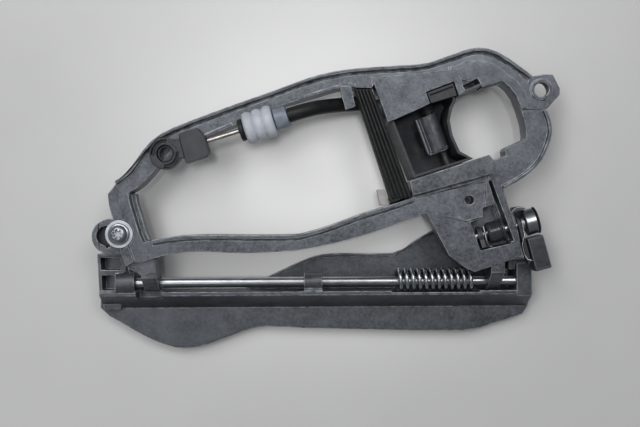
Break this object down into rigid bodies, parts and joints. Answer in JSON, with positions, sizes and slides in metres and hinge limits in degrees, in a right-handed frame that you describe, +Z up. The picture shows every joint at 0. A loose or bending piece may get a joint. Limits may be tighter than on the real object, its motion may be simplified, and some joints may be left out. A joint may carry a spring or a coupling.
{
  "type": "car door handle carrier",
  "caption": "Die-cast carrier of an outside car door handle, with a sprung pull flap on a rod, a cable catch in a plastic guide, a short pull cable and a swinging crash weight",
  "frame": {"origin": "under the middle of the bounding box, on the plane the part lies on", "axes": "+X along the hinge rod from the slotted front ear to the round rear ear, +Y from the rod towards the round ear, +Z up, away from the surface it lies on"},
  "size_m": [0.2188, 0.1412, 0.0466],
  "materials": {
    "die_cast": "as-cast light alloy, mottled grey, edges rubbed bright",
    "zinc_steel": "clear zinc-plated steel, semi-bright",
    "dark_steel": "dark phosphated steel",
    "black_plastic": "black glass-filled moulding",
    "soft_white": "translucent white silicone rubber",
    "pale_plastic": "pale grey moulding",
    "sheath_black": "black extruded cable sheath"
  },
  "bodies": {
    "carrier": {"carrier_frame": "die_cast", "hinge_rod": "zinc_steel", "front_fixing_screw": "zinc_steel", "fixing_washer": "pale_plastic", "fixing_nut": "dark_steel", "ribbed_bridge": "black_plastic", "bridge_clip": "pale_plastic", "guide_housing": "black_plastic", "catch_pin": "dark_steel", "catch_spring": "dark_steel", "dust_bellows": "soft_white", "sheath_collar": "pale_plastic", "cable_sheath": "sheath_black", "sheath_ferrule": "dark_steel"},
    "flap": {"pull_flap": "die_cast", "return_spring": "zinc_steel"},
    "catch": {"catch_lever": "zinc_steel", "cable_nipple": "zinc_steel"},
    "cable": {"cable_eyelet": "black_plastic", "eyelet_bush": "dark_steel", "ferrule_tube": "zinc_steel", "bellows_washer": "black_plastic", "cable_core": "zinc_steel"},
    "weight": {"inertia_shaft": "zinc_steel", "inertia_head": "zinc_steel", "shaft_washer": "black_plastic", "inertia_lever": "dark_steel", "inertia_weight": "dark_steel", "inertia_spring": "zinc_steel", "inertia_roller": "black_plastic", "inertia_pawl": "zinc_steel", "pawl_spring": "zinc_steel"}
  },
  "joints": [
    {"name": "flap_swing", "type": "hinge", "parent": "carrier", "child": "flap", "pos_m": [0, -0.0384, 0.017], "axis": [-1, 0, 0], "range_deg": [0, 22], "stiffness_Nm_per_rad": 0.05},
    {"name": "catch_turn", "type": "hinge", "parent": "carrier", "child": "catch", "pos_m": [0.05402, 0.03203, 0.021], "axis": [-0.342, 0.9397, 0], "range_deg": [0, 18]},
    {"name": "cable_pull", "type": "slide", "parent": "carrier", "child": "cable", "axis": [0.9565, 0.287, 0.0523], "range_m": [0, 0.005], "deforming": ["dust_bellows"]},
    {"name": "inertia_swing", "type": "hinge", "parent": "carrier", "child": "weight", "pos_m": [0.0982, -0.0097, 0.028], "axis": [-0.9659, -0.2588, 0], "range_deg": [0, 35], "stiffness_Nm_per_rad": 0.02}
  ],
  "couplings": [
    {"joint": "catch_turn", "follows": "flap_swing", "ratio": 0.8},
    {"joint": "cable_pull", "follows": "flap_swing", "m_per_rad": 0.013}
  ]
}
